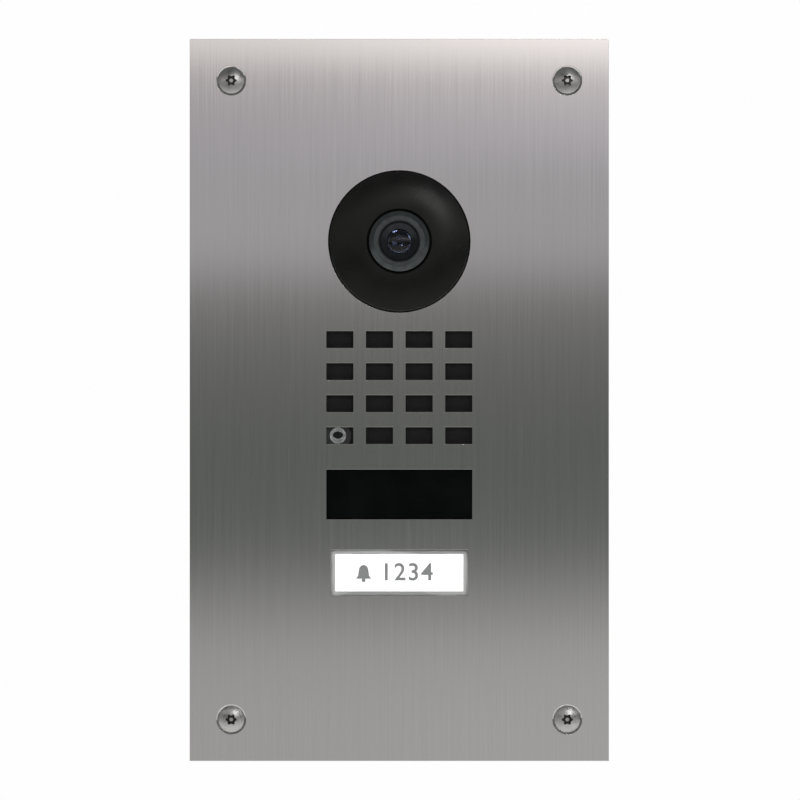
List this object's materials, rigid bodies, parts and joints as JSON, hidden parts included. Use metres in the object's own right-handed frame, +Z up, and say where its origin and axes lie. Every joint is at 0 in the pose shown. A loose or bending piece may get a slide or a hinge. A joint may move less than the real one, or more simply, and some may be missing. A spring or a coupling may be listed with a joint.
{
  "type": "video door intercom panel",
  "caption": "Flush-mounted brushed-steel door intercom: camera, slotted sound grille, sensor window and one lit nameplate call button over a wall box.",
  "frame": {"origin": "middle of the front panel on the finished wall's plane, where the panel gasket rests", "axes": "+X to a visitor's right, +Y into the wall, +Z up the panel's height"},
  "size_m": [0.101, 0.0522, 0.174],
  "materials": {
    "panel_steel": "vertically brushed stainless steel",
    "screw_steel": "turned stainless steel, satin",
    "zinc_steel": "zinc-plated steel",
    "brass_fastener": "turned brass",
    "rubber_black": "matte moulded rubber and foam",
    "seal_red": "silicone sheet",
    "cover_black": "smoked infrared-pass polycarbonate, polished",
    "barrel_metal": "black anodised, fine turned",
    "lens_glass": "coated optical glass",
    "plastic_black": "moulded nylon",
    "filter_glass": "coated filter glass",
    "copper_wire": "enamelled copper winding",
    "sensor_die": "image sensor under its cover glass",
    "circuit_board": "green solder mask on glass laminate",
    "circuit_board_black": "black solder mask",
    "ribbon_film": "white flexible film",
    "lamp_epoxy": "clear and yellow epoxy lamp bodies",
    "membrane_cloth": "black water-repelling acoustic membrane",
    "speaker_plastic": "moulded plastic basket",
    "cone_paper": "pressed fibre cone",
    "magnet_steel": "plated steel",
    "window_black": "polished black acrylic",
    "cap_clear": "clear and milky polycarbonate",
    "card_white": "printed card",
    "plastic_white": "white moulded plastic",
    "contact_gold": "gold-plated contact metal",
    "housing_plastic": "dark glass-filled plastic",
    "chip_black": "moulded component bodies",
    "jack_shield": "tinned steel shield",
    "terminal_green": "green moulded terminal plastic",
    "relay_blue": "blue relay case",
    "button_red": "red moulded plastic",
    "box_plastic": "grey moulded plastic with light moulding grain"
  },
  "bodies": {
    "root": {"front_panel": "panel_steel", "panel_screws": "screw_steel", "panel_gasket": "rubber_black", "panel_studs": "zinc_steel", "stud_nuts": "brass_fastener", "camera_cover": "cover_black", "camera_seal": "rubber_black", "lens_barrel": "barrel_metal", "lens_retaining_ring": "barrel_metal", "lens_front_element": "lens_glass", "lens_rear_elements": "lens_glass", "lens_mount": "plastic_black", "filter_actuator": "copper_wire", "image_sensor": "sensor_die", "camera_board": "circuit_board", "camera_ribbon": "ribbon_film", "ir_board": "circuit_board_black", "ir_lamps": "lamp_epoxy", "grille_membrane": "membrane_cloth", "speaker_gasket": "rubber_black", "speaker_frame": "speaker_plastic", "speaker_surround": "rubber_black", "speaker_magnet": "magnet_steel", "microphone": "magnet_steel", "microphone_boot": "rubber_black", "sensor_window": "window_black", "window_seal": "rubber_black", "reader_board": "circuit_board", "button_springs": "zinc_steel", "button_seal": "rubber_black", "button_board": "circuit_board", "button_lamps": "lamp_epoxy", "call_switch": "plastic_black", "module_housing": "housing_plastic", "housing_seal": "rubber_black", "module_cover": "housing_plastic", "cover_seal": "seal_red", "cover_screws": "zinc_steel", "main_board": "circuit_board", "board_screws": "zinc_steel", "board_headers": "contact_gold", "main_board_parts": "chip_black", "ethernet_jack": "jack_shield", "terminal_block": "terminal_green", "terminal_screws": "zinc_steel", "relays": "relay_blue", "reset_switch": "plastic_black", "back_box": "box_plastic", "box_inserts": "brass_fastener", "cable_grommet": "rubber_black"},
    "call_button": {"button_cap": "cap_clear", "nameplate_card": "card_white", "button_light_guide": "cap_clear", "button_carrier": "plastic_white", "call_switch_plunger": "contact_gold"},
    "ir_filter": {"filter_carriage": "plastic_black", "filter_panes": "filter_glass"},
    "speaker_diaphragm": {"speaker_cone": "cone_paper", "speaker_voice_coil": "copper_wire"},
    "reset_key": {"reset_button": "button_red"}
  },
  "joints": [
    {"name": "call_button_press", "type": "slide", "parent": "root", "child": "call_button", "axis": [0, 1, 0], "range_m": [0, 0.001], "stiffness_N_per_m": 1500, "springref_m": -0.0004, "deforming": ["button_springs"]},
    {"name": "ir_filter_slide", "type": "slide", "parent": "root", "child": "ir_filter", "axis": [-1, 0, 0], "range_m": [0, 0.008]},
    {"name": "speaker_cone_travel", "type": "slide", "parent": "root", "child": "speaker_diaphragm", "axis": [0, 1, 0], "range_m": [-0.0004, 0.0004], "stiffness_N_per_m": 1500, "deforming": ["speaker_surround"]},
    {"name": "reset_key_press", "type": "slide", "parent": "root", "child": "reset_key", "axis": [0, -1, 0], "range_m": [0, 0.0005], "stiffness_N_per_m": 1500, "springref_m": -0.0004}
  ]
}
